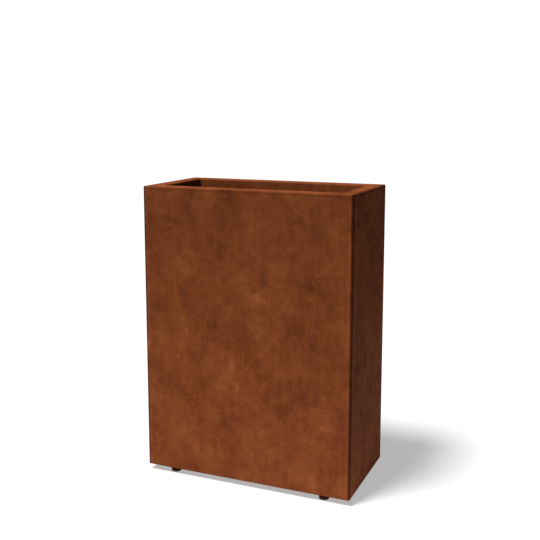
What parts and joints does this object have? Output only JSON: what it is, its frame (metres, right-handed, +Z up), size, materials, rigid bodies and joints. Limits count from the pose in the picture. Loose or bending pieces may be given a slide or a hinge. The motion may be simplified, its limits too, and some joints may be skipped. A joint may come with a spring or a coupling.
{
  "type": "planter box",
  "caption": "Tall narrow planter box of folded weathering steel with a flat inward rim, drained floor and small screw-down levelling feet.",
  "frame": {"origin": "on the ground under the middle of the box", "axes": "+Z up, -Y towards the front long wall, +X to the right seen from the front"},
  "size_m": [0.6, 0.3, 0.815],
  "materials": {
    "rusted_wall": "rusted weathering steel, cloudy brown-orange patina, matt",
    "rusted_inside": "rusted weathering steel, darker and rougher than outside",
    "dark_rust_pad": "turned steel with a dark brown rust skin",
    "screw_steel": "plain dull screw steel"
  },
  "bodies": {
    "planter": {"front_panel": "rusted_wall", "back_panel": "rusted_wall", "left_end_panel": "rusted_wall", "right_end_panel": "rusted_wall", "front_stiffener": "rusted_inside", "back_stiffener": "rusted_inside", "floor_pan": "rusted_inside", "left_floor_rib": "rusted_inside", "right_floor_rib": "rusted_inside", "lock_nut_front_left": "screw_steel", "lock_nut_front_right": "screw_steel", "lock_nut_back_left": "screw_steel", "lock_nut_back_right": "screw_steel", "weld_nut_front_left": "screw_steel", "weld_nut_front_right": "screw_steel", "weld_nut_back_left": "screw_steel", "weld_nut_back_right": "screw_steel"},
    "front_left_foot": {"foot_pad_front_left": "dark_rust_pad"},
    "front_left_screw": {"foot_stem_front_left": "screw_steel", "foot_ring_front_left": "screw_steel"},
    "front_right_foot": {"foot_pad_front_right": "dark_rust_pad"},
    "front_right_screw": {"foot_stem_front_right": "screw_steel", "foot_ring_front_right": "screw_steel"},
    "back_left_foot": {"foot_pad_back_left": "dark_rust_pad"},
    "back_left_screw": {"foot_stem_back_left": "screw_steel", "foot_ring_back_left": "screw_steel"},
    "back_right_foot": {"foot_pad_back_right": "dark_rust_pad"},
    "back_right_screw": {"foot_stem_back_right": "screw_steel", "foot_ring_back_right": "screw_steel"}
  },
  "joints": [
    {"name": "front_left_foot_height", "type": "slide", "parent": "planter", "child": "front_left_foot", "axis": [0, 0, -1], "range_m": [0, 0.0125]},
    {"name": "front_left_screw_turn", "type": "hinge", "parent": "front_left_foot", "child": "front_left_screw", "pos_m": [-0.223, -0.127, 0.01], "axis": [0, 0, -1], "range_deg": [0, 3600]},
    {"name": "front_right_foot_height", "type": "slide", "parent": "planter", "child": "front_right_foot", "axis": [0, 0, -1], "range_m": [0, 0.0125]},
    {"name": "front_right_screw_turn", "type": "hinge", "parent": "front_right_foot", "child": "front_right_screw", "pos_m": [0.223, -0.127, 0.01], "axis": [0, 0, -1], "range_deg": [0, 3600]},
    {"name": "back_left_foot_height", "type": "slide", "parent": "planter", "child": "back_left_foot", "axis": [0, 0, -1], "range_m": [0, 0.0125]},
    {"name": "back_left_screw_turn", "type": "hinge", "parent": "back_left_foot", "child": "back_left_screw", "pos_m": [-0.223, 0.127, 0.01], "axis": [0, 0, -1], "range_deg": [0, 3600]},
    {"name": "back_right_foot_height", "type": "slide", "parent": "planter", "child": "back_right_foot", "axis": [0, 0, -1], "range_m": [0, 0.0125]},
    {"name": "back_right_screw_turn", "type": "hinge", "parent": "back_right_foot", "child": "back_right_screw", "pos_m": [0.223, 0.127, 0.01], "axis": [0, 0, -1], "range_deg": [0, 3600]}
  ],
  "couplings": [
    {"joint": "front_left_screw_turn", "follows": "front_left_foot_height", "rad_per_m": 5026.5},
    {"joint": "front_right_screw_turn", "follows": "front_right_foot_height", "rad_per_m": 5026.5},
    {"joint": "back_left_screw_turn", "follows": "back_left_foot_height", "rad_per_m": 5026.5},
    {"joint": "back_right_screw_turn", "follows": "back_right_foot_height", "rad_per_m": 5026.5}
  ]
}
